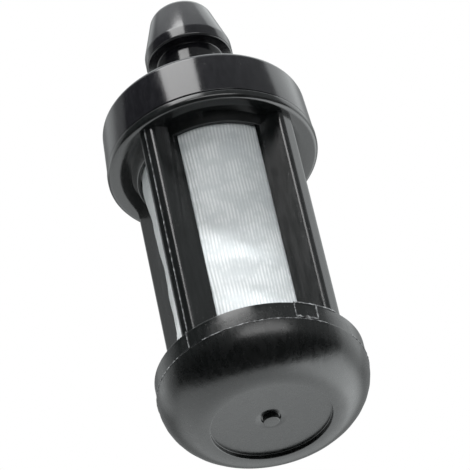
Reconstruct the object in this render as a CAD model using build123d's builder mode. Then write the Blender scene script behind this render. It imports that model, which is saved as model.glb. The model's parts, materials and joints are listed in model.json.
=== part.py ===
from build123d import *
import os
from math import hypot, radians, tan

# Fuel pickup filter: a moulded cage with a woven screen, closed by a cap with a hose barb.
# Origin at the centre of the flat base, +Z along the axis towards the barb, millimetres.

# Base cup and lower band
foot_r = 5.3
cup_r = 7.7
cup_corner_r = 3.5
cup_corner_z = 3.3
parting_z = 3.4
band_r = 7.64
band_top_z = 4.84
band_edge_r = 0.08
pocket_r = 4.42
pocket_depth = 0.35
gate_dimple_r = 0.95
gate_dimple_floor_r = 0.7
gate_dimple_depth = 0.2
gate_nub_r = 0.58
gate_nub_end_z = 0.05
cup_floor_z = 1.5

# Ribs
rib_count = 4
rib_start_angle = 45
rib_outer_r = 7.48
rib_outer_half_width = 0.66
rib_flank_angle = 17
rib_edge_r = 0.16

# Upper end of the cage: a collar round the screen, and a rim, with a dished web between them
collar_r = 5.9
collar_top_r = 6.2
collar_bottom_z = 23.2
rim_r = 8.0
rim_bore_r = 7.1
rim_bottom_z = 23.75
web_z = 23.94
cage_top_z = 24.45
rim_lip_r = 0.34
rim_joint_r = 0.1

# Screen and filter cartridge
screen_r = 5.6
screen_wall = 0.15
screen_bottom_z = 4.0
screen_top_z = 24.2
core_r = 2.6
core_bore_r = 1.9
drain_hole_r = 0.45
drain_rows = 9
drain_row_pitch = 1.9
drain_columns = 6
felt_r = 4.4
end_cap_thickness = 1.0
locating_spigot_height = 1.2
running_gap = 0.1

# Cap, outlet boss and seal
cap_foot_r = 7.95
cap_shoulder_r = 7.74
cap_top_z = 28.52
cap_edge_r = 0.6
cap_foot_chamfer = 0.14
cap_wall = 1.35
spigot_wall = 0.75
spigot_bottom_z = 22.9
boss_r = 2.3
boss_bottom_z = 25.0
seal_section_r = 0.35
seal_z = 25.8
socket_wall = 0.7
socket_top_z = 26.5

# Hose barb
bore_r = 1.4
neck_r = 2.5
neck_root_r = 0.3
barb_r = 3.37
barb_bottom_z = 34.25
barb_land_z = 35.25
barb_land_edge_r = 0.4
barb_cone_top_r = 2.56
barb_cone_top_z = 38.0
barb_tip_r = 1.62
barb_tip_z = 39.1

# Weight
weight_gap = 0.05
weight_chamfer = 0.4
weight_bore_r = 1.0

# Levels and radii that follow
gate_floor_z = pocket_depth + gate_dimple_depth
screen_bore_r = screen_r - screen_wall
weight_seat_r = screen_bore_r - running_gap
cartridge_bottom_z = screen_bottom_z + end_cap_thickness
cartridge_top_z = 23.6
cap_roof_z = cap_top_z - cap_wall
spigot_bore_r = screen_bore_r - spigot_wall
socket_r = boss_r + 2 * seal_section_r
rib_depth = rib_outer_r - screen_bore_r
rib_foot_half_width = rib_outer_half_width + rib_depth * tan(radians(rib_flank_angle))


def ring_is_at(ring, radius, level):
    """Whether a round edge has this radius and lies at this level."""
    return abs(ring.radius - radius) < 0.01 and abs(ring.center().Z - level) < 0.01


# Cage: cup, band, four ribs and upper ring in one moulding
with BuildPart() as cage:
    with BuildSketch(Plane.XZ):
        with BuildLine():
            Polyline(
                (0, gate_floor_z),
                (gate_dimple_floor_r, gate_floor_z),
                (gate_dimple_r, pocket_depth),
                (pocket_r, pocket_depth),
                (pocket_r, 0),
                (foot_r, 0),
            )
            RadiusArc((foot_r, 0), (cup_r, cup_corner_z), -cup_corner_r)
            Polyline(
                (cup_r, cup_corner_z),
                (cup_r, parting_z),
                (band_r, parting_z),
                (band_r, band_top_z),
                (screen_r, band_top_z),
                (screen_r, screen_bottom_z),
                (weight_seat_r, screen_bottom_z),
                (weight_seat_r, cup_floor_z),
                (0, cup_floor_z),
                (0, gate_floor_z),
            )
        make_face()
    revolve(axis=Axis.Z)
    rings = cage.edges().filter_by(GeomType.CIRCLE)
    fillet(rings.filter_by(lambda ring: ring_is_at(ring, band_r, band_top_z)), band_edge_r)
    with BuildSketch(Plane.XZ):
        with BuildLine():
            Polyline(
                (screen_r, collar_bottom_z),
                (collar_r, collar_bottom_z),
                (collar_top_r, web_z),
                (rim_bore_r, rim_bottom_z),
                (rim_r, rim_bottom_z),
                (rim_r, cage_top_z),
                (screen_r, cage_top_z),
                close=True,
            )
        make_face()
    revolve(axis=Axis.Z)
    rings = cage.edges().filter_by(GeomType.CIRCLE)
    fillet(rings.filter_by(lambda ring: ring_is_at(ring, rim_r, rim_bottom_z)), rim_lip_r)
    rings = cage.edges().filter_by(GeomType.CIRCLE)
    fillet(rings.filter_by(lambda ring: ring_is_at(ring, rim_r, cage_top_z)), rim_joint_r)
    with BuildSketch(Plane.XY.offset(band_top_z)) as rib_section:
        with PolarLocations(0, rib_count, start_angle=rib_start_angle):
            Polygon(
                (screen_bore_r, -rib_foot_half_width),
                (rib_outer_r, -rib_outer_half_width),
                (rib_outer_r, rib_outer_half_width),
                (screen_bore_r, rib_foot_half_width),
                align=None,
            )
        rib_corners = rib_section.vertices().filter_by(lambda corner: hypot(corner.X, corner.Y) > rim_bore_r)
        fillet(rib_corners, rib_edge_r)
    extrude(amount=cage_top_z - band_top_z)
    with BuildSketch(Plane.XY.offset(band_top_z)):
        Circle(screen_r)
    extrude(amount=cage_top_z - band_top_z, mode=Mode.SUBTRACT)
    with BuildSketch(Plane.XY.offset(gate_nub_end_z)):
        Circle(gate_nub_r)
    extrude(amount=gate_floor_z - gate_nub_end_z)
cage.part.label = "cage"


# Cap: domed barb, neck, collar, inner spigot and outlet boss, turned about the axis
with BuildPart() as barb_cap:
    with BuildSketch(Plane.XZ):
        with BuildLine():
            Polyline(
                (bore_r, barb_tip_z),
                (bore_r, boss_bottom_z),
                (boss_r, boss_bottom_z),
                (boss_r, cap_roof_z),
                (spigot_bore_r, cap_roof_z),
                (spigot_bore_r, spigot_bottom_z),
                (screen_bore_r, spigot_bottom_z),
                (screen_bore_r, cage_top_z),
                (cap_foot_r, cage_top_z),
                (cap_shoulder_r, cap_top_z),
                (neck_r, cap_top_z),
                (neck_r, barb_bottom_z),
                (barb_r, barb_bottom_z),
                (barb_r, barb_land_z),
                (barb_cone_top_r, barb_cone_top_z),
            )
            cone_run = (barb_cone_top_r - barb_r, barb_cone_top_z - barb_land_z)
            TangentArc((barb_cone_top_r, barb_cone_top_z), (barb_tip_r, barb_tip_z), tangent=cone_run)
            Line((barb_tip_r, barb_tip_z), (bore_r, barb_tip_z))
        make_face()
    revolve(axis=Axis.Z)
    rings = barb_cap.edges().filter_by(GeomType.CIRCLE)
    fillet(rings.filter_by(lambda ring: ring_is_at(ring, cap_shoulder_r, cap_top_z)), cap_edge_r)
    rings = barb_cap.edges().filter_by(GeomType.CIRCLE)
    chamfer(rings.filter_by(lambda ring: ring_is_at(ring, cap_foot_r, cage_top_z)), cap_foot_chamfer)
    rings = barb_cap.edges().filter_by(GeomType.CIRCLE)
    fillet(rings.filter_by(lambda ring: ring_is_at(ring, neck_r, cap_top_z)), neck_root_r)
    rings = barb_cap.edges().filter_by(GeomType.CIRCLE)
    fillet(rings.filter_by(lambda ring: ring_is_at(ring, barb_r, barb_land_z)), barb_land_edge_r)
barb_cap.part.label = "barb_cap"


# Screen: a woven sleeve held between the cage and the cap's spigot
with BuildPart() as screen_sleeve:
    with BuildSketch(Plane.XY.offset(screen_bottom_z)):
        Circle(screen_r)
        Circle(screen_bore_r, mode=Mode.SUBTRACT)
    extrude(amount=screen_top_z - screen_bottom_z)
screen_sleeve.part.label = "screen_sleeve"


# Core tube: carries the felt and drains it through rows of round holes
with BuildPart() as core_tube:
    with BuildSketch(Plane.XY.offset(cartridge_bottom_z)):
        Circle(core_r)
        Circle(core_bore_r, mode=Mode.SUBTRACT)
    extrude(amount=cartridge_top_z - cartridge_bottom_z)
    core_middle_z = (cartridge_bottom_z + cartridge_top_z) / 2
    for column in range(drain_columns // 2):
        drain_plane = Plane.XZ.rotated((0, 0, column * 360 / drain_columns))
        with BuildSketch(drain_plane):
            with Locations((0, core_middle_z)):
                with GridLocations(1, drain_row_pitch, 1, drain_rows):
                    Circle(drain_hole_r)
        extrude(amount=core_r * 2, both=True, mode=Mode.SUBTRACT)
core_tube.part.label = "core_tube"


# Felt: the fine filter, a soft sleeve on the core tube
with BuildPart() as felt_sleeve:
    with BuildSketch(Plane.XY.offset(cartridge_bottom_z)):
        Circle(felt_r)
        Circle(core_r, mode=Mode.SUBTRACT)
    extrude(amount=cartridge_top_z - cartridge_bottom_z)
felt_sleeve.part.label = "felt_sleeve"


# Lower end cap: closes the felt and spreads the screen's lower edge against the cup
with BuildPart() as lower_end_cap:
    with BuildSketch(Plane.XY.offset(screen_bottom_z)):
        Circle(screen_bore_r)
    extrude(amount=end_cap_thickness)
    with BuildSketch(Plane.XY.offset(cartridge_bottom_z)):
        Circle(core_bore_r)
    extrude(amount=locating_spigot_height)
    chamfer(lower_end_cap.edges().group_by(Axis.Z)[-1], running_gap)
lower_end_cap.part.label = "lower_end_cap"


# Upper end cap: closes the felt around the outlet, with a socket for the seal
with BuildPart() as upper_end_cap:
    with BuildSketch(Plane.XY.offset(cartridge_top_z)):
        Circle(spigot_bore_r - running_gap)
        Circle(core_bore_r, mode=Mode.SUBTRACT)
    extrude(amount=end_cap_thickness)
    with BuildSketch(Plane.XY.offset(cartridge_top_z + end_cap_thickness)):
        Circle(socket_r + socket_wall)
        Circle(socket_r, mode=Mode.SUBTRACT)
    extrude(amount=socket_top_z - cartridge_top_z - end_cap_thickness)
upper_end_cap.part.label = "upper_end_cap"


# Outlet seal: an O-ring between the outlet boss and the socket
with BuildPart(Plane.XY.offset(seal_z)) as outlet_seal:
    Torus(boss_r + seal_section_r, seal_section_r)
outlet_seal.part.label = "outlet_seal"


# Weight: a steel slug in the cup that makes the filter sink to the fuel's lowest point
with BuildPart() as weight_slug:
    with BuildSketch(Plane.XY.offset(cup_floor_z)):
        Circle(weight_seat_r - weight_gap)
        Circle(weight_bore_r, mode=Mode.SUBTRACT)
    extrude(amount=screen_bottom_z - cup_floor_z)
    outer_edges = weight_slug.edges().filter_by(GeomType.CIRCLE).group_by(SortBy.RADIUS)[-1]
    chamfer(outer_edges, weight_chamfer)
weight_slug.part.label = "weight_slug"


pieces = (
    cage,
    barb_cap,
    screen_sleeve,
    core_tube,
    felt_sleeve,
    lower_end_cap,
    upper_end_cap,
    outlet_seal,
    weight_slug,
)
os.makedirs("parts", exist_ok=True)
for piece in pieces:
    export_step(piece.part, f"parts/{piece.part.label}.step")
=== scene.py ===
# %% [markdown]
# # A fuel pickup filter
#
# A small filter that lies in a fuel tank at the end of a hose. A black moulded cage holds a white woven
# screen, a second black moulding closes it with a hose barb, and a felt cartridge and a steel weight sit
# inside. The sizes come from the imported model. This lesson makes the moulded pieces again with all their
# small rounds, seams and flash, weaves the screen, and then lights and frames the filter.

# %% Load the frame
import bmesh
import bpy
import json
from math import atan2, ceil, cos, hypot, pi, radians, sin, tan
from mathutils import Matrix, Vector

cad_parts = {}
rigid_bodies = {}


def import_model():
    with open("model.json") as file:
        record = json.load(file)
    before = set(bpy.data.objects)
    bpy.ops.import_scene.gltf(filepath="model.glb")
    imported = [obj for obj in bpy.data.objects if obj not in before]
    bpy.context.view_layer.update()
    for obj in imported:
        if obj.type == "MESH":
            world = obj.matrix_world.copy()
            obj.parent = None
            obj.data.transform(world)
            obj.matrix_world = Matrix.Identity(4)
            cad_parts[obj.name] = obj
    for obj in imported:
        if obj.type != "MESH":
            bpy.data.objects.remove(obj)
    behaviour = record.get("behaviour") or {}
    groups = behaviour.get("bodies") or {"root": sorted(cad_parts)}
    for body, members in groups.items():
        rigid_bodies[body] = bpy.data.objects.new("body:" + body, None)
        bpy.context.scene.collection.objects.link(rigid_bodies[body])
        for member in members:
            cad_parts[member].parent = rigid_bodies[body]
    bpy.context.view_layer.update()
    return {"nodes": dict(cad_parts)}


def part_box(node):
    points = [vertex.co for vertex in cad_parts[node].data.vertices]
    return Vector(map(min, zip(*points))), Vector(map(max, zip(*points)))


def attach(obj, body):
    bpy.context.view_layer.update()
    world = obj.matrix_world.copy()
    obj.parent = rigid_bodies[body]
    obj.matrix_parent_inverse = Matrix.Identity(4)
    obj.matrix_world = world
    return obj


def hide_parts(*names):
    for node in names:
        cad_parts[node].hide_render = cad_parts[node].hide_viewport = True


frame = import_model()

mm = 0.001
print("nodes:", sorted(frame["nodes"]))

# %% [markdown]
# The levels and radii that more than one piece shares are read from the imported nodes' boxes, in
# millimetres. The few that a box can't tell, such as the step between cup and band, are named below.

# %% Levels and radii
rim_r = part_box("cage")[1].x / mm
cage_top_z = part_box("cage")[1].z / mm
tip_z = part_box("barb_cap")[1].z / mm
spigot_bottom_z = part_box("barb_cap")[0].z / mm
screen_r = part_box("screen_sleeve")[1].x / mm
screen_bottom_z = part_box("screen_sleeve")[0].z / mm
screen_top_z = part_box("screen_sleeve")[1].z / mm
cup_floor_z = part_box("weight_slug")[0].z / mm
cup_r = 7.7
band_r = 7.64
band_top_z = 4.84
parting_z = 3.4
collar_r = 5.9
collar_bottom_z = 23.2
rib_outer_r = 7.48
rib_angles = [45, 135, 225, 315]
print("rim", round(rim_r, 2), "cage top", round(cage_top_z, 2), "tip", round(tip_z, 2))

# %% [markdown]
# Every turned piece starts as an outline beside the axis. On a real mould no corner is sharp, so each
# corner of an outline can carry a radius. The arc's points follow from the two straight runs beside it:
# the tangent length is the radius divided by the tangent of half the corner's angle.

# %% Helpers: outlines
arc_step = radians(9)


def arc_about(centre, start, end):
    """Points on the arc about centre from start to end, the short way round."""
    radius = hypot(start[0] - centre[0], start[1] - centre[1])
    first = atan2(start[1] - centre[1], start[0] - centre[0])
    turn = atan2(end[1] - centre[1], end[0] - centre[0]) - first
    turn = (turn + pi) % (2 * pi) - pi
    count = max(2, ceil(abs(turn) / arc_step))
    angles = [first + turn * step / count for step in range(count + 1)]
    return [(centre[0] + radius * cos(angle), centre[1] + radius * sin(angle)) for angle in angles]


def rounded(corners):
    """An outline of (radius, height) points, from corners that may carry a third value, their round."""
    outline = []
    for index, corner in enumerate(corners):
        here = Vector(corner[:2])
        if len(corner) == 2:
            outline.append(tuple(here))
            continue
        back = (Vector(corners[index - 1][:2]) - here).normalized()
        ahead = (Vector(corners[index + 1][:2]) - here).normalized()
        half_angle = back.angle(ahead) / 2
        reach = corner[2] / tan(half_angle)
        centre = here + (back + ahead).normalized() * corner[2] / sin(half_angle)
        outline += arc_about(centre, here + back * reach, here + ahead * reach)
    return outline


# %% [markdown]
# A turned piece is made as on a lathe. A plane is merged to one vertex, the vertex is extruded along the
# outline, and the line is spun once round the axis. The seam and the poles are merged before the normals
# are recalculated, because an open seam would hide which side is out.

# %% Helpers: turning
merge_gap = 1e-6
turning_steps = 240
crisp_angle = radians(32)


def clear_selection():
    for thing in bpy.context.view_layer.objects:
        thing.select_set(False)


def choose(piece):
    """Makes piece the one selected and active object."""
    clear_selection()
    piece.select_set(True)
    bpy.context.view_layer.objects.active = piece


def settle(piece, name):
    """Puts a finished piece's place into its mesh and shades it smooth between crisp edges."""
    piece.name = name
    piece.data.name = name
    choose(piece)
    bpy.ops.object.transform_apply(location=True, rotation=True, scale=True)
    bpy.ops.object.shade_smooth_by_angle(angle=crisp_angle)
    return piece


def turned(name, outline, closed=False, steps=turning_steps):
    """Spins an outline in millimetres about the Z axis."""
    clear_selection()
    path = outline + outline[:1] if closed else outline
    radius, height = path[0]
    bpy.ops.mesh.primitive_plane_add(size=mm, location=(radius * mm, 0, height * mm))
    piece = bpy.context.object
    bpy.ops.object.mode_set(mode="EDIT")
    bpy.ops.mesh.select_mode(type="VERT")
    bpy.ops.mesh.select_all(action="SELECT")
    bpy.ops.mesh.merge(type="CENTER")
    for here, there in zip(path, path[1:]):
        run = ((there[0] - here[0]) * mm, 0, (there[1] - here[1]) * mm)
        bpy.ops.mesh.extrude_region_move(TRANSFORM_OT_translate={"value": run})
    bpy.ops.mesh.select_all(action="SELECT")
    bpy.ops.mesh.spin(steps=steps, angle=2 * pi, center=(0, 0, 0), axis=(0, 0, 1))
    bpy.ops.mesh.select_all(action="SELECT")
    bpy.ops.mesh.remove_doubles(threshold=merge_gap)
    bpy.ops.mesh.normals_make_consistent(inside=False)
    bpy.ops.object.mode_set(mode="OBJECT")
    return settle(piece, name)


print("one step of a turned piece is", 360 / turning_steps, "degrees")

# %% [markdown]
# Edit mode acts on what is selected, so two helpers select points and edges by their place. Both start from
# nothing selected, because a new primitive is selected all over. A third helper welds solids together.

# %% Helpers: selecting and welding
def select_points(piece, test):
    """Enters edit mode with just the vertices selected whose place passes the test."""
    bpy.ops.object.mode_set(mode="EDIT")
    bpy.ops.mesh.select_mode(type="VERT")
    bpy.ops.mesh.select_all(action="DESELECT")
    bpy.ops.object.mode_set(mode="OBJECT")
    for vertex in piece.data.vertices:
        vertex.select = test(vertex.co)
    bpy.ops.object.mode_set(mode="EDIT")


def select_edges(piece, test):
    """Enters edit mode with just the edges selected whose two ends pass the test together."""
    bpy.ops.object.mode_set(mode="EDIT")
    bpy.ops.mesh.select_mode(type="EDGE")
    bpy.ops.mesh.select_all(action="DESELECT")
    bpy.ops.object.mode_set(mode="OBJECT")
    for edge in piece.data.edges:
        edge.select = test(*[piece.data.vertices[end].co for end in edge.vertices])
    bpy.ops.object.mode_set(mode="EDIT")


def united(body, others):
    """Welds other solids into body with exact booleans, and removes them."""
    for other in others:
        choose(body)
        weld = body.modifiers.new("weld", "BOOLEAN")
        weld.operation = "UNION"
        weld.solver = "EXACT"
        weld.object = other
        bpy.ops.object.modifier_apply(modifier=weld.name)
        bpy.data.objects.remove(other)
    return body


# %% [markdown]
# ## The cup and the band
#
# The lower end of the cage is a deep cup that holds the weight. Its foot is a narrow ring round a shallow
# pocket, and the mould was filled through the middle of the pocket, so a stub of the gate is left in a
# small dimple. Above the big corner a step and a fine groove show where two halves of the mould met.

# %% The cup
foot_r = 5.3
cup_corner_z = 3.3
cup_corner_centre = (4.2, 3.32)
pocket_r = 4.42
pocket_z = 0.35
gate_floor_z = 0.55
gate_stub_r = 0.58
gate_stub_z = 0.06
gate_well_r = 0.68
gate_halo_r = 1.15
seat_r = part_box("weight_slug")[1].x / mm + 0.05

under_side = rounded([
    (0, gate_stub_z),
    (gate_stub_r, gate_stub_z, 0.05),
    (gate_stub_r, gate_floor_z),
    (gate_well_r, gate_floor_z),
    (gate_well_r + 0.06, pocket_z + 0.06, 0.04),
    (gate_halo_r, pocket_z, 0.3),
    (pocket_r, pocket_z, 0.05),
    (pocket_r, 0, 0.06),
    (foot_r, 0),
])
corner = arc_about(cup_corner_centre, (foot_r, 0), (cup_r, cup_corner_z))[1:]
upper_side = rounded([
    (cup_r, cup_corner_z + 0.05),
    (cup_r - 0.03, parting_z - 0.01),
    (band_r - 0.1, parting_z, 0.01),
    (band_r, parting_z + 0.09),
    (band_r, band_top_z, 0.09),
    (screen_r, band_top_z),
    (screen_r, screen_bottom_z),
    (seat_r, screen_bottom_z),
    (seat_r, cup_floor_z, 0.3),
    (0, cup_floor_z),
])
cage = turned("cage_moulding", under_side + corner + upper_side)
print("cup:", len(cage.data.polygons), "faces")

# %% [markdown]
# ## The collar and the rim
#
# At the top a thin collar grips the screen, and a stouter rim carries the cap. A web joins them, dished
# slightly so that it lies above the rim's lower face, and the four ribs run up into all three.

# %% Collar and rim
rim_bottom_z = 23.75
collar_top_r = 6.4
web_inner_r = 6.0
web_outer_r = 7.1
web_z = 23.98
collar = turned("collar", rounded([
    (screen_r, collar_bottom_z),
    (collar_r, collar_bottom_z, 0.07),
    (collar_top_r, cage_top_z),
    (screen_r, cage_top_z),
]), closed=True)
rim = turned("rim", rounded([
    (web_inner_r, cage_top_z),
    (web_inner_r, web_z),
    (web_outer_r, rim_bottom_z, 1.5),
    (rim_r, rim_bottom_z, 0.34),
    (rim_r, cage_top_z, 0.08),
    (web_inner_r + 0.1, cage_top_z),
]), closed=True)
print("rim:", len(rim.data.polygons), "faces")

# %% [markdown]
# ## The ribs
#
# Four ribs stand between the band and the rim. Each is a cube drawn out to the rib's length, spread at its
# foot so that it leaves the mould easily, and with its two outer edges bevelled round. One rib is modelled
# and then copied, with a mesh of its own, to each quarter.

# %% Ribs
rib_foot_r = 5.42
rib_half_width = 0.66
rib_foot_half_width = 1.29
rib_edge_r = 0.27
rib_bottom_z = band_top_z - 0.4
rib_top_z = cage_top_z - 0.01


def rib_at(angle):
    """One rib, its outer face turned to this angle."""
    clear_selection()
    middle = ((rib_foot_r + rib_outer_r) / 2 * mm, 0, (rib_bottom_z + rib_top_z) / 2 * mm)
    depth = (rib_outer_r - rib_foot_r) * mm
    size = (depth, 2 * rib_half_width * mm, (rib_top_z - rib_bottom_z) * mm)
    bpy.ops.mesh.primitive_cube_add(size=1, location=middle, scale=size)
    rib = bpy.context.object
    bpy.ops.object.transform_apply(location=True, rotation=True, scale=True)
    select_points(rib, lambda at: at.x < middle[0])
    bpy.ops.transform.resize(value=(1, rib_foot_half_width / rib_half_width, 1))
    select_edges(rib, lambda a, b: min(a.x, b.x) > middle[0] and abs(a.z - b.z) > mm)
    bpy.ops.mesh.bevel(offset=rib_edge_r * mm, segments=6, affect="EDGES")
    bpy.ops.object.mode_set(mode="OBJECT")
    rib.data.transform(Matrix.Rotation(radians(angle), 4, "Z"))
    return rib


cage = united(cage, [collar, rim] + [rib_at(angle) for angle in rib_angles])
print("cage after welding:", len(cage.data.polygons), "faces")

# %% [markdown]
# ## Flash
#
# Where the parts of a mould meet, a little plastic creeps out and leaves a thin ragged fin. Two slides made
# the windows, and they met along the middle of two opposite ribs. A small block at the foot of each slide
# left a framed patch on the band, beside the other two ribs. A fin is a long thin cube, cut into short
# lengths whose points are then shaken a little.

# %% Flash fins
fin_width = 0.06
fin_height = 0.12
fin_pitch = 0.22
fin_span = 5


def fin(start, end, seed, width=fin_width, rough=0.02):
    """A thin ragged fin between two points of the cage's skin, in millimetres."""
    clear_selection()
    start, end = Vector(start), Vector(end)
    run = end - start
    bpy.ops.mesh.primitive_cube_add(size=1)
    piece = bpy.context.object
    piece.scale = (run.length * mm, width * mm, fin_height * mm)
    bpy.ops.object.transform_apply(scale=True)
    cuts = max(3, int(run.length / fin_pitch))
    select_edges(piece, lambda a, b: abs(a.x - b.x) > run.length * mm / 2)
    bpy.ops.mesh.subdivide(number_cuts=cuts)
    bpy.ops.mesh.select_all(action="SELECT")
    bpy.ops.transform.vertex_random(offset=rough * mm, uniform=0.3, normal=0, seed=seed)
    bpy.ops.object.mode_set(mode="OBJECT")
    along = run.normalized()
    middle = (start + end) / 2
    out = Vector((middle.x, middle.y, 0)).normalized()
    out = (out - along * out.dot(along)).normalized()
    side = out.cross(along)
    turn = Matrix((along, side, out)).transposed().to_4x4()
    piece.data.transform(Matrix.Translation(middle * mm) @ turn)
    return piece


def on_skin(radius, angle, height):
    """The point at this radius, angle and height."""
    way = radians(angle)
    return Vector((cos(way) * radius, sin(way) * radius, height))


def ragged_arc(radius, height, first, last, seed, rough, width=fin_width):
    """Fins end to end along a level arc of the skin, from the first to the last angle."""
    count = max(2, ceil(abs(last - first) / fin_span))
    marks = [first + (last - first) * step / count for step in range(count + 1)]
    points = [on_skin(radius, mark, height) for mark in marks]
    spans = enumerate(zip(points, points[1:]))
    return [fin(here, there, seed + number, width, rough) for number, (here, there) in spans]


# %% [markdown]
# The split line climbs the band and then the whole rib. Each slide mark is a low frame: two uprights, a
# ragged sill, and a line along the band's top edge that runs on past one upright. Four long arcs follow the
# parting line between band and cup. Fins and moulding are joined into one piece, with a material each.

# %% The fins on the cage
split_ribs = [45, 225]
slide_marks = [113, 293]
slide_mark_reach = 6.5
slide_mark_z = parting_z + 0.16
top_flash_reach = 20.5
parting_arc = 36
arc_seed = 20
parting_seed = 400
fins = []
for angle in split_ribs:
    rib_foot = on_skin(rib_outer_r, angle, band_top_z)
    rib_head = on_skin(rib_outer_r, angle, rim_bottom_z)
    fins.append(fin(rib_foot, rib_head, angle))
    fins.append(fin(on_skin(band_r, angle, parting_z), on_skin(band_r, angle, band_top_z), angle + 1))
for angle in slide_marks:
    for side in (-1, 1):
        edge_angle = angle + side * slide_mark_reach
        low = on_skin(band_r, edge_angle, slide_mark_z)
        high = on_skin(band_r, edge_angle, band_top_z - 0.02)
        fins.append(fin(low, high, angle + side, rough=0.03))
    first, last = angle - slide_mark_reach, angle + slide_mark_reach
    fins += ragged_arc(band_r + 0.02, slide_mark_z, first, last, angle, 0.1, 0.11)
    last = angle + top_flash_reach
    fins += ragged_arc(band_r - 0.03, band_top_z, first, last, angle + arc_seed, 0.03, 0.09)
for angle in (0, 90, 180, 270):
    first, last = angle - parting_arc, angle + parting_arc
    fins += ragged_arc(cup_r - 0.03, parting_z - 0.02, first, last, angle + parting_seed, 0.02)
cage_plastic = bpy.data.materials.new("cage black nylon")
flash_plastic = bpy.data.materials.new("whitened flash")
cage.data.materials.clear()
cage.data.materials.append(cage_plastic)
for piece in fins:
    piece.data.materials.append(flash_plastic)
choose(cage)
for piece in fins:
    piece.select_set(True)
bpy.ops.object.join()
cage = settle(bpy.context.object, "cage_moulding")
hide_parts("cage")
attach(cage, "root")
print("fins:", len(fins), "cage:", len(cage.data.polygons), "faces")

# %% [markdown]
# ## The cap
#
# The upper moulding closes the cage. It has a tall collar that leans in slightly, a neck and a hose barb
# with one soft land and a domed tip, and inside it a spigot that spreads the screen and a boss that the
# cartridge seals on. All of it is round, so all of it is one outline.

# %% The cap
bore_r = 1.4
boss_r = 2.3
boss_bottom_z = 25.0
roof_z = 27.1
spigot_r = 5.45
spigot_bore_r = 4.7
cap_foot_r = 7.95
cap_shoulder_r = 7.74
cap_top_z = 28.52
neck_r = 2.5
barb_r = 3.37
barb_under_z = 34.25
land_z = 35.2
dome_corner_r = 2.24

cap = turned("cap_moulding", rounded([
    (bore_r, tip_z, 0.02),
    (bore_r, boss_bottom_z, 0.1),
    (boss_r, boss_bottom_z, 0.15),
    (boss_r, roof_z, 0.2),
    (spigot_bore_r, roof_z, 0.3),
    (spigot_bore_r, spigot_bottom_z, 0.1),
    (spigot_r, spigot_bottom_z, 0.2),
    (spigot_r, cage_top_z),
    (cap_foot_r - 0.14, cage_top_z),
    (cap_foot_r, cage_top_z + 0.14, 0.06),
    (cap_shoulder_r, cap_top_z, 0.6),
    (neck_r, cap_top_z, 0.3),
    (neck_r, barb_under_z, 0.1),
    (barb_r, barb_under_z, 0.16),
    (barb_r, land_z, 0.9),
    (dome_corner_r, tip_z, 1.05),
    (bore_r + 0.001, tip_z),
])[1:], closed=True)
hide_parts("barb_cap")
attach(cap, "root")
print("cap:", len(cap.data.polygons), "faces")

# %% [markdown]
# ## The woven screen
#
# The screen is one strip of fine white cloth, rolled to a sleeve and moulded into the ribs. It is stretched
# between them, so it is waisted in the middle of each window and swells a little under the collar. A few
# smooth waves say how far from the axis each point of it stands.

# %% The cloth's shape
cloth_r = screen_r - 0.09
waist_z = 14.5
waist_depth = 0.30
upper_swell = 0.42
lower_swell = 0.26
wave_depth = 0.05
ripple_depth = 0.016
pucker_depth = 0.03


def held(distance, reach):
    """0 where the cloth is gripped, rising to 1 where it is this far or further from its grip."""
    return max(0.0, min(1.0, distance / reach))


def cloth_radius(angle, height):
    """How far from the axis the stretched cloth stands, in millimetres."""
    across = cos(2 * angle) ** 2
    free = held(height - band_top_z, 1.6) * held(collar_bottom_z - height, 0.9)
    rise = (height - waist_z) / (collar_bottom_z - waist_z)
    swell = upper_swell if rise > 0 else lower_swell
    sag = swell * rise * rise - waist_depth
    wave = wave_depth * sin(height * 1.25 + 2.1 * cos(angle + 0.6))
    ripple = ripple_depth * sin(height * 2.9 + 3 * angle)
    pucker = pucker_depth * sin(14 * angle + 0.5 * height) * (1 - across)
    return cloth_r + free * (across * (sag + wave + ripple) + pucker)


# %% [markdown]
# A flat grid gives the strip and its own UV map. It is rolled up point by point to the shape above. The seam
# is merged, and the strip gets its thickness last.

# %% The screen
cloth_thickness = 0.1
cloth_columns = 240
cloth_rows = 90
clear_selection()
strip_width = 2 * pi * cloth_r * mm
strip_length = (screen_top_z - screen_bottom_z - 0.1) * mm
bpy.ops.mesh.primitive_grid_add(x_subdivisions=cloth_columns, y_subdivisions=cloth_rows, size=1)
cloth = bpy.context.object
cloth.scale = (strip_width, strip_length, 1)
bpy.ops.object.transform_apply(scale=True)
middle_z = (screen_bottom_z + screen_top_z) / 2
for vertex in cloth.data.vertices:
    angle = 2 * pi * vertex.co.x / strip_width
    height = middle_z + vertex.co.y / mm
    radius = cloth_radius(angle, height)
    vertex.co = Vector((radius * cos(angle), radius * sin(angle), height)) * mm
choose(cloth)
bpy.ops.object.mode_set(mode="EDIT")
bpy.ops.mesh.select_mode(type="VERT")
bpy.ops.mesh.select_all(action="SELECT")
bpy.ops.mesh.remove_doubles(threshold=merge_gap)
bpy.ops.mesh.normals_make_consistent(inside=False)
bpy.ops.object.mode_set(mode="OBJECT")
choose(cloth)
skin = cloth.modifiers.new("thickness", "SOLIDIFY")
skin.thickness = cloth_thickness * mm
skin.offset = -1
bpy.ops.object.modifier_apply(modifier=skin.name)
screen = settle(cloth, "screen_cloth")
bpy.ops.object.shade_smooth()
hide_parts("screen_sleeve")
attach(screen, "root")
print("screen strip", round(strip_width / mm, 1), "x", round(strip_length / mm, 1), "mm")

# %% [markdown]
# ## The felt
#
# Inside the screen a thick sleeve of felt does the fine filtering. Felt has no straight edge, so the turned
# sleeve is cut into many short faces and its skin is pushed in and out by a cloudy pattern.

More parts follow.
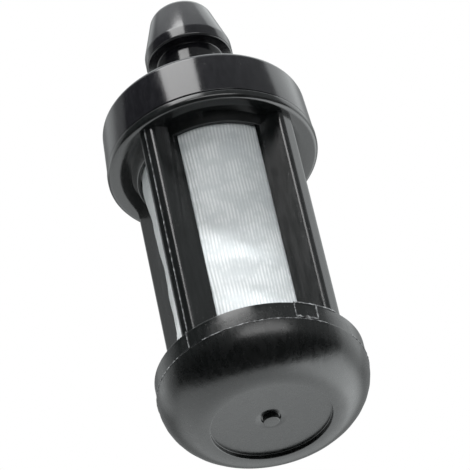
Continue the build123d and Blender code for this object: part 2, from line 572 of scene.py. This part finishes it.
# %% The felt sleeve
felt_low, felt_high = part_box("felt_sleeve")
felt_r = felt_high.x / mm
felt_bore_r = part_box("core_tube")[1].x / mm + 0.02
felt_bottom_z = felt_low.z / mm + 0.02
felt_top_z = felt_high.z / mm - 0.02
felt_skin_r = felt_r - 0.1
felt_rows = 44
felt_row = (felt_top_z - felt_bottom_z) / felt_rows
felt_side = [(felt_skin_r, felt_bottom_z + felt_row * row) for row in range(2, felt_rows - 1)]
felt = turned("felt_wrap", rounded([
    (felt_bore_r, felt_bottom_z),
    (felt_skin_r, felt_bottom_z, 0.2),
    (felt_skin_r, felt_bottom_z + 0.39),
]) + felt_side + rounded([
    (felt_skin_r, felt_top_z - 0.39),
    (felt_skin_r, felt_top_z, 0.2),
    (felt_bore_r, felt_top_z),
]), closed=True, steps=120)
clouds = bpy.data.textures.new("felt clouds", "CLOUDS")
clouds.noise_scale = 0.7 * mm
lumps = felt.modifiers.new("lumps", "DISPLACE")
lumps.texture = clouds
lumps.strength = 0.12 * mm
lumps.mid_level = 0.5
choose(felt)
bpy.ops.object.modifier_apply(modifier=lumps.name)
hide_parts("felt_sleeve")
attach(felt, "root")
print("felt:", len(felt.data.polygons), "faces")

# %% [markdown]
# ## Materials
#
# Every finish is built from procedural patterns on Object coordinates, so it stays at its real scale on the
# moulding. A small kit of functions adds the nodes. What is the same all over a surface, such as the
# specular level, is set on the shader itself.

# %% Helpers: materials
class Finish:
    """A material, made new unless a piece already wears it, and the nodes in it."""

    def __init__(self, name):
        self.material = bpy.data.materials.get(name) or bpy.data.materials.new(name)
        self.material.use_nodes = True
        self.tree = self.material.node_tree
        self.shader = self.tree.nodes["Principled BSDF"]
        self.place = self.add("ShaderNodeTexCoord").outputs["Object"]

    def add(self, kind, **settings):
        node = self.tree.nodes.new(kind)
        for key, value in settings.items():
            setattr(node, key, value)
        return node

    def join(self, source, target):
        self.tree.links.new(source, target)

    def scaled(self, stretch, source=None):
        """The coordinates stretched by three factors, for streaks and rows."""
        node = self.add("ShaderNodeMapping")
        node.inputs["Scale"].default_value = stretch
        self.join(source or self.place, node.inputs["Vector"])
        return node.outputs["Vector"]

    def noise(self, grain, detail=4, roughness=0.6, source=None):
        """Noise whose features are about grain millimetres across."""
        node = self.add("ShaderNodeTexNoise")
        node.inputs["Scale"].default_value = 1 / (grain * mm)
        node.inputs["Detail"].default_value = detail
        node.inputs["Roughness"].default_value = roughness
        self.join(source or self.place, node.inputs["Vector"])
        return node.outputs["Fac"]

    def between(self, value, low, high, first, last):
        """The value remapped smoothly from low..high to first..last."""
        node = self.add("ShaderNodeMapRange", interpolation_type="SMOOTHSTEP")
        self.join(value, node.inputs["Value"])
        for socket, number in zip(("From Min", "From Max", "To Min", "To Max"), (low, high, first, last)):
            node.inputs[socket].default_value = number
        return node.outputs["Result"]

    def maths(self, first, second, operation="ADD"):
        """One math node on two numbers or sockets."""
        node = self.add("ShaderNodeMath", operation=operation)
        for socket, value in zip(node.inputs, (first, second)):
            if isinstance(value, (int, float)):
                socket.default_value = value
            else:
                self.join(value, socket)
        return node.outputs["Value"]

    def rows(self, value, count):
        """Round threads side by side: count waves from 0 to 1 as the value goes from 0 to 1."""
        wave = self.maths(self.maths(value, 2 * pi * count, "MULTIPLY"), 0.0, "SINE")
        return self.between(wave, -1, 1, 0, 1)

    def blend(self, amount, first, second):
        """A colour between two colours, by amount."""
        node = self.add("ShaderNodeMix", data_type="RGBA")
        self.join(amount, node.inputs["Factor"])
        for socket, value in ((node.inputs[6], first), (node.inputs[7], second)):
            if isinstance(value, tuple):
                socket.default_value = (*value, 1)
            else:
                self.join(value, socket)
        return node.outputs[2]

    def bump(self, height, depth, under=None):
        """A bump of this depth in millimetres, on top of another one."""
        node = self.add("ShaderNodeBump")
        node.inputs["Distance"].default_value = depth * mm
        self.join(height, node.inputs["Height"])
        if under:
            self.join(under, node.inputs["Normal"])
        return node.outputs["Normal"]

    def set(self, **values):
        """Sets or links the shader's sockets by name."""
        for key, value in values.items():
            socket = self.shader.inputs[key.replace("_", " ")]
            if isinstance(value, bpy.types.NodeSocket):
                self.join(value, socket)
            else:
                socket.default_value = value


# %% [markdown]
# Handling rubs the tight outer rounds of a moulding first. How tightly the skin bends across an edge is the
# angle between its two faces divided by their width, so each point gets that as an attribute of its own.

# %% Helper: wear
tight_bend = 5.0
slight_angle = 0.05


def mark_wear(piece):
    """Stores from 0 to 1 how tightly each point's skin is rounded outwards."""
    shape = bmesh.new()
    shape.from_mesh(piece.data)
    bends = [0.0] * len(shape.verts)
    for edge in shape.edges:
        angle = edge.calc_face_angle_signed(0)
        if angle < slight_angle:
            continue
        width = sum(face.calc_area() for face in edge.link_faces) / 2 / edge.calc_length() / mm
        for corner in edge.verts:
            bends[corner.index] = max(bends[corner.index], angle / width)
    shape.free()
    wear = piece.data.attributes.new("wear", "FLOAT", "POINT")
    wear.data.foreach_set("value", [min(1.0, bend / tight_bend) for bend in bends])
    print(piece.name, "rubbed points:", sum(bend > tight_bend for bend in bends))


mark_wear(cage)
mark_wear(cap)

# %% [markdown]
# The mouldings are black nylon. A polished mould gives a glossy skin with a faint orange peel, flow marks
# along the ribs, and here and there a hair-thin scratch or a speck of dust. The tight rounds are rubbed a
# little greyer, by the attribute from the last step. The cup's mould was less polished, so it is duller.

# %% Black plastic
rubbed_grey = (0.09, 0.092, 0.095)
dust_grey = (0.16, 0.16, 0.15)


def black_plastic(name, dark, light, gloss, streak_way, dull_below=0.0):
    """Glossy moulded nylon. streak_way stretches the flow marks, and below a level the skin is duller."""
    finish = Finish(name)
    clouds = finish.noise(1.6, 3)
    peel = finish.noise(0.22, 2)
    grain = finish.noise(0.07, 3)
    streaks = finish.noise(0.35, 3, source=finish.scaled(streak_way))
    scratches = finish.noise(0.12, 2, source=finish.scaled((1, 0.09, 0.14)))
    hair = finish.between(scratches, 0.72, 0.78, 0, 1)
    dust = finish.between(finish.noise(0.16, 1), 0.76, 0.8, 0, 1)
    rubbed = finish.add("ShaderNodeAttribute", attribute_name="wear").outputs["Fac"]
    worn = finish.between(rubbed, 0.3, 1.0, 0, 1)
    worn = finish.maths(worn, finish.between(clouds, 0.35, 0.65, 0.2, 1), "MULTIPLY")
    base = finish.blend(finish.between(streaks, 0.35, 0.7, 0, 1), dark, light)
    base = finish.blend(finish.maths(worn, 0.25, "MULTIPLY"), base, rubbed_grey)
    base = finish.blend(finish.maths(dust, 0.35, "MULTIPLY"), base, dust_grey)
    rough = finish.between(streaks, 0.3, 0.75, gloss - 0.01, gloss + 0.03)
    rough = finish.maths(rough, finish.maths(clouds, 0.06, "MULTIPLY"))
    rough = finish.maths(rough, finish.maths(hair, 0.15, "MULTIPLY"))
    height = finish.add("ShaderNodeSeparateXYZ")
    finish.join(finish.place, height.inputs["Vector"])
    dull = finish.between(height.outputs["Z"], (dull_below - 0.8) * mm, dull_below * mm, 1, 0)
    dull = finish.maths(dull, finish.between(finish.noise(0.8, 4), 0.3, 0.7, 0.55, 1), "MULTIPLY")
    rough = finish.maths(rough, finish.maths(dull, 0.11, "MULTIPLY"))
    mottle = finish.maths(finish.noise(0.6, 3, 0.5), dull, "MULTIPLY")
    normal = finish.bump(peel, 0.0015)
    normal = finish.bump(grain, 0.0005, normal)
    normal = finish.bump(streaks, 0.001, normal)
    normal = finish.bump(hair, 0.0008, normal)
    normal = finish.bump(mottle, 0.01, normal)
    finish.set(Base_Color=base, Roughness=rough, Normal=normal, IOR=1.52)
    return finish.material


cage_blacks = ((0.0035, 0.0042, 0.0042), (0.0065, 0.0072, 0.0074))
cap_blacks = ((0.0042, 0.0042, 0.0052), (0.0065, 0.0065, 0.0078))
black_plastic("cage black nylon", *cage_blacks, 0.15, (1, 1, 0.12), band_top_z)
cap_plastic = black_plastic("cap black nylon", *cap_blacks, 0.10, (1, 1, 0.3))
cap.data.materials.clear()
cap.data.materials.append(cap_plastic)
print("cap wears:", cap.data.materials[0].name)

# %% [markdown]
# Flash is so thin that it turns whitish where it bends, as nylon does when it is stretched. So it gets a
# finish of its own, patchy and dull, and that is what makes the seams show.

# %% Whitened flash
flash_greys = ((0.03, 0.031, 0.032), (0.19, 0.195, 0.2))


def whitened_flash(name):
    """Nylon squeezed thin, which turns pale and dull where it is bent."""
    finish = Finish(name)
    pale = finish.noise(0.3, 3)
    base = finish.blend(finish.between(pale, 0.4, 0.62, 0, 1), *flash_greys)
    finish.set(Base_Color=base, Roughness=0.38, Normal=finish.bump(pale, 0.01))
    return finish.material


print("flash wears:", whitened_flash("whitened flash").name)

# %% [markdown]
# The screen's threads are finer than its mesh, so they are a pattern on the strip's own UV map: a row of
# round warp threads up the sleeve and a tighter row of weft round it. The rows wander slightly, as woven
# ones do. The nylon is white and a little translucent, and the valleys between threads are painted a darker
# grey than the crowns, as painted shade.

# %% White weave
# The darker of these two whites is painted shade for the valleys between the threads.
weave_white_and_painted_valley_shade = ((0.35, 0.373, 0.384), (0.5, 0.52, 0.525))
soiled_white = (0.30, 0.32, 0.35)


def woven_white(name, warp_count, weft_count):
    """Fine white mesh with this many threads round and along the sleeve, its valleys darkened by painted
    shade.
    """
    finish = Finish(name)
    strip = finish.add("ShaderNodeTexCoord").outputs["UV"]
    split = finish.add("ShaderNodeSeparateXYZ")
    finish.join(strip, split.inputs["Vector"])
    wander = finish.maths(finish.noise(6, 1), 0.012, "MULTIPLY")
    jitter = finish.maths(finish.noise(0.5, 2), 0.0009, "MULTIPLY")
    across = finish.maths(finish.maths(split.outputs["X"], wander), jitter)
    warp_height = finish.rows(across, warp_count)
    weft_height = finish.rows(split.outputs["Y"], weft_count)
    patch = finish.between(finish.noise(1.3, 3), 0.4, 0.62, 0.25, 1)
    warp_shade = finish.maths(warp_height, patch, "MULTIPLY")
    shade = finish.maths(warp_shade, finish.maths(weft_height, 0.25, "MULTIPLY"))
    # Painted shade: where the thread height is low, in the valleys, the colour turns to the darker grey.
    base = finish.blend(finish.between(shade, 0, 1.1, 0, 1), *weave_white_and_painted_valley_shade)
    soiled = finish.between(finish.noise(3.1, 4), 0.5, 0.75, 0, 0.22)
    base = finish.blend(soiled, base, soiled_white)
    normal = finish.bump(warp_height, 0.012)
    normal = finish.bump(weft_height, 0.004, normal)
    finish.set(Base_Color=base, Roughness=0.42, Normal=normal, IOR=1.5)
    finish.set(Subsurface_Weight=0.35, Subsurface_Scale=0.25 * mm)
    finish.shader.inputs["Subsurface Radius"].default_value = (1, 1, 1)
    finish.set(Sheen_Weight=0.2, Sheen_Roughness=0.4)
    return finish.material


warp_threads = 136
weft_threads = 240
screen.data.materials.clear()
screen.data.materials.append(woven_white("white nylon weave", warp_threads, weft_threads))
print("thread spacing", round(strip_width / mm / warp_threads, 3), "mm")

# %% [markdown]
# The pieces inside are seldom seen, but each has its own finish: matted felt, plain cream mouldings, black
# rubber and turned steel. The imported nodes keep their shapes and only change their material.

# %% Inner finishes
felt_creams = ((0.52, 0.5, 0.45), (0.78, 0.76, 0.7))
felt_shadow = (0.45, 0.42, 0.36)


def matted_felt(name):
    """Fine fibres and soft lumps, with a faint sheen."""
    finish = Finish(name)
    fibres = finish.noise(0.12, 6, 0.8, finish.scaled((1, 1, 0.4)))
    lumps = finish.noise(0.9, 4)
    base = finish.blend(finish.between(fibres, 0.3, 0.7, 0, 1), *felt_creams)
    base = finish.blend(finish.between(lumps, 0.55, 0.8, 0, 0.4), base, felt_shadow)
    normal = finish.bump(lumps, 0.05, finish.bump(fibres, 0.06))
    finish.set(Base_Color=base, Roughness=0.95, Normal=normal, Sheen_Weight=0.5, Sheen_Roughness=0.6)
    return finish.material


def inner_moulding(name, dark, light, roughness, stretch=(1, 1, 1)):
    """A dull moulding with flow marks, stretched the way that it was filled."""
    finish = Finish(name)
    flow = finish.noise(0.8, 5, source=finish.scaled(stretch))
    grain = finish.noise(0.09, 3)
    base = finish.blend(finish.between(flow, 0.35, 0.65, 0, 1), dark, light)
    rough = finish.between(grain, 0.3, 0.7, roughness - 0.06, roughness + 0.08)
    normal = finish.bump(grain, 0.003, finish.bump(flow, 0.01))
    finish.set(Base_Color=base, Roughness=rough, Normal=normal)
    return finish.material


steel_greys = ((0.56, 0.55, 0.53), (0.38, 0.36, 0.34))


def turned_steel(name):
    """Steel with the fine rings of a lathe tool and a little staining."""
    finish = Finish(name)
    rings = finish.noise(0.25, 5, source=finish.scaled((0.05, 0.05, 3)))
    stain = finish.noise(1.1, 4)
    base = finish.blend(finish.between(stain, 0.4, 0.7, 0, 1), *steel_greys)
    rough = finish.between(rings, 0.3, 0.7, 0.25, 0.45)
    finish.set(Base_Color=base, Metallic=1.0, Roughness=rough, Normal=finish.bump(rings, 0.006))
    return finish.material


felt.data.materials.clear()
felt.data.materials.append(matted_felt("wool felt"))
core_creams = ((0.62, 0.6, 0.54), (0.7, 0.68, 0.62))
end_creams = ((0.6, 0.58, 0.52), (0.7, 0.67, 0.6))
rubber_blacks = ((0.012, 0.012, 0.012), (0.022, 0.022, 0.022))
inner_finishes = {
    "core_tube": inner_moulding("cream core moulding", *core_creams, 0.4, (1, 1, 0.2)),
    "lower_end_cap": inner_moulding("cream end moulding", *end_creams, 0.42),
    "upper_end_cap": inner_moulding("cream upper moulding", *end_creams, 0.42),
    "outlet_seal": inner_moulding("black rubber", *rubber_blacks, 0.55),
    "weight_slug": turned_steel("turned steel"),
}
for name, material in inner_finishes.items():
    node = frame["nodes"][name]
    node.data.materials.clear()
    node.data.materials.append(material)
print("finishes:", len(bpy.data.materials))

# %% [markdown]
# ## Camera
#
# The filter is seen from below and in front, with its barb pointing up and away, and the picture is rolled
# a little. The camera stands thirty rim radii away, so the perspective is mild. Its place is worked out from
# three directions: to the right, up, and back towards the camera.

# %% Camera
view_distance = 30.0
view_aside = 0.3273
view_below = 1.65763
tilt = radians(37.61)
roll = radians(12.92)
swing_angle = 9.4
swing = Matrix.Rotation(radians(-swing_angle), 3, "Z")
across = Vector((1, 0, 0))
upward = Vector((0, -sin(tilt), cos(tilt)))
toward = Vector((0, -cos(tilt), -sin(tilt)))
right = across * cos(roll) - upward * sin(roll)
up = across * sin(roll) + upward * cos(roll)
stand = (-view_aside * right + view_below * up + view_distance * toward) * rim_r * mm
clear_selection()
bpy.ops.object.camera_add()
camera = bpy.context.object
camera.name = "camera"
axes = Matrix((swing @ right, swing @ up, swing @ toward)).transposed().to_4x4()
camera.matrix_world = Matrix.Translation(swing @ stand) @ axes
camera.data.sensor_width = 36
camera.data.lens = 260.1
camera.data.clip_start = 0.01
bpy.context.scene.camera = camera
print("camera at", [round(number, 4) for number in camera.matrix_world.translation])

# %% [markdown]
# ## Light and floor
#
# Black gloss shows nothing but what it reflects, so the studio matters more than the lamps' strength. The
# room is bright behind and beside the filter, dimmer high on the left, and almost dark in front. Each wall
# is painted by direction, as a ramp along one axis. What the camera sees past the filter is plain white.

# %% World
world = bpy.data.worlds.new("studio")
bpy.context.scene.world = world
world.use_nodes = True
nodes = world.node_tree.nodes
links = world.node_tree.links
background = nodes["Background"]
where = nodes.new("ShaderNodeTexCoord")
facing = nodes.new("ShaderNodeMapping")
facing.inputs["Rotation"].default_value = (0, 0, radians(swing_angle))
links.new(where.outputs["Generated"], facing.inputs["Vector"])
parts = nodes.new("ShaderNodeSeparateXYZ")
links.new(facing.outputs["Vector"], parts.inputs["Vector"])


def ramp(value, low, high, first, last):
    """The value remapped smoothly from low..high to first..last."""
    node = nodes.new("ShaderNodeMapRange")
    node.interpolation_type = "SMOOTHSTEP"
    links.new(value, node.inputs["Value"])
    for socket, number in zip(("From Min", "From Max", "To Min", "To Max"), (low, high, first, last)):
        node.inputs[socket].default_value = number
    return node.outputs["Result"]


def combine(first, second, operation):
    """One math node on two numbers or sockets."""
    node = nodes.new("ShaderNodeMath")
    node.operation = operation
    for socket, value in zip(node.inputs, (first, second)):
        if isinstance(value, (int, float)):
            socket.default_value = value
        else:
            links.new(value, socket)
    return node.outputs["Value"]


# %% The room
aside = parts.outputs["X"]
away = parts.outputs["Y"]
above = parts.outputs["Z"]
front = combine(
    ramp(aside, -0.7, 0.8, 0.05, 0.33),
    ramp(above, -0.15, 0.25, 0.08, 1.0),
    "MULTIPLY",
)
low_walls = combine(
    ramp(above, -0.45, 0.15, 1.0, 0.15),
    ramp(aside, 0.0, 0.7, 1.9, 4.4),
    "MULTIPLY",
)
shade_left = combine(
    ramp(above, 0.46, 0.64, 1.0, 0.53),
    ramp(away, 0.25, 0.42, 0.5, 1.0),
    "MULTIPLY",
)
left_loss = combine(
    ramp(aside, -0.5, 0.3, 1.0, 0.0),
    combine(1.0, shade_left, "SUBTRACT"),
    "MULTIPLY",
)
high_walls = combine(
    ramp(away, 0.5, 0.72, 1.6, 0.4),
    combine(1.0, left_loss, "SUBTRACT"),
    "MULTIPLY",
)
walls = combine(high_walls, low_walls, "MAXIMUM")
dip = combine(combine(above, 0.0, "MINIMUM"), -0.3, "MULTIPLY")
edge = combine(away, dip, "ADD")
behind = combine(walls, ramp(edge, 0.02, 0.13, 0.0, 1.0), "MULTIPLY")
overhead = ramp(above, 0.78, 0.95, 0.0, 1.1)
room = combine(combine(behind, front, "MAXIMUM"), overhead, "MAXIMUM")
path = nodes.new("ShaderNodeLightPath")
seen = combine(path.outputs["Is Camera Ray"], 1.0, "MULTIPLY")
unseen = combine(1.0, seen, "SUBTRACT")
strength = combine(combine(room, unseen, "MULTIPLY"), seen, "ADD")
tint = nodes.new("ShaderNodeMix")
tint.data_type = "RGBA"
tint.inputs[6].default_value = (0.965, 1.0, 1.005, 1)
tint.inputs[7].default_value = (1, 1, 1, 1)
links.new(seen, tint.inputs["Factor"])
links.new(tint.outputs[2], background.inputs["Color"])
links.new(strength, background.inputs["Strength"])
print("world nodes:", len(nodes))

# %% [markdown]
# A tall softbox front left draws the bright stripe down the cap and the neck. A weak wide one front right
# draws the soft patch on the cup. A narrow strip overhead only brightens the cloth: it isn't mirrored.

# %% Softboxes
target = Vector((0, 0, 0.02))


def softbox(name, azimuth, elevation, distance, width, height, radiance, lean=0.0):
    """An area light that faces the filter, placed by its angles from the camera's side."""
    around = radians(azimuth - 90 - swing_angle)
    rise = radians(elevation)
    way = Vector((cos(around) * cos(rise), sin(around) * cos(rise), sin(rise)))
    clear_selection()
    bpy.ops.object.light_add(type="AREA", location=target + way * distance)
    lamp = bpy.context.object
    lamp.name = name
    lamp.data.shape = "RECTANGLE"
    lamp.data.size = width
    lamp.data.size_y = height
    lamp.data.energy = radiance * pi * width * height
    turn = way.to_track_quat("Z", "Y").to_matrix() @ Matrix.Rotation(radians(lean), 3, "Z")
    lamp.rotation_euler = turn.to_euler()
    lamp.visible_camera = False
    return lamp


lamp_distance = 0.5
softbox("key softbox", -17.5, 53, lamp_distance, 0.24, 0.32, 6.6, lean=15)
softbox("fill softbox", 13, 13, lamp_distance, 0.42, 0.18, 3.8)
strip = softbox("overhead strip", -8, 75, lamp_distance, 0.16, 0.016, 1200)
strip.visible_glossy = False

# %% [markdown]
# The floor is plain and pale. It lies well below the filter, because the camera looks up from underneath,
# and it is lifted to near white where the camera sees it, so that no horizon crosses a view.

# %% Floor
floor_z = -0.45
floor_size = 12
floor_lift = 0.45
floor_whites = ((0.78, 0.78, 0.77), (0.82, 0.82, 0.81))
clear_selection()
bpy.ops.mesh.primitive_plane_add(size=floor_size, location=(0, 0, floor_z))
floor = bpy.context.object
floor.name = "floor"
floor.visible_glossy = False
floor_finish = Finish("pale floor")
cloudy = floor_finish.noise(60, 3)
first_look = floor_finish.add("ShaderNodeLightPath").outputs["Is Camera Ray"]
floor_finish.set(
    Base_Color=floor_finish.blend(cloudy, *floor_whites),
    Roughness=0.8,
    Emission_Color=(1, 1, 1, 1),
    Emission_Strength=floor_finish.maths(first_look, floor_lift, "MULTIPLY"),
)
floor.data.materials.append(floor_finish.material)
bpy.context.scene.view_settings.view_transform = "Standard"
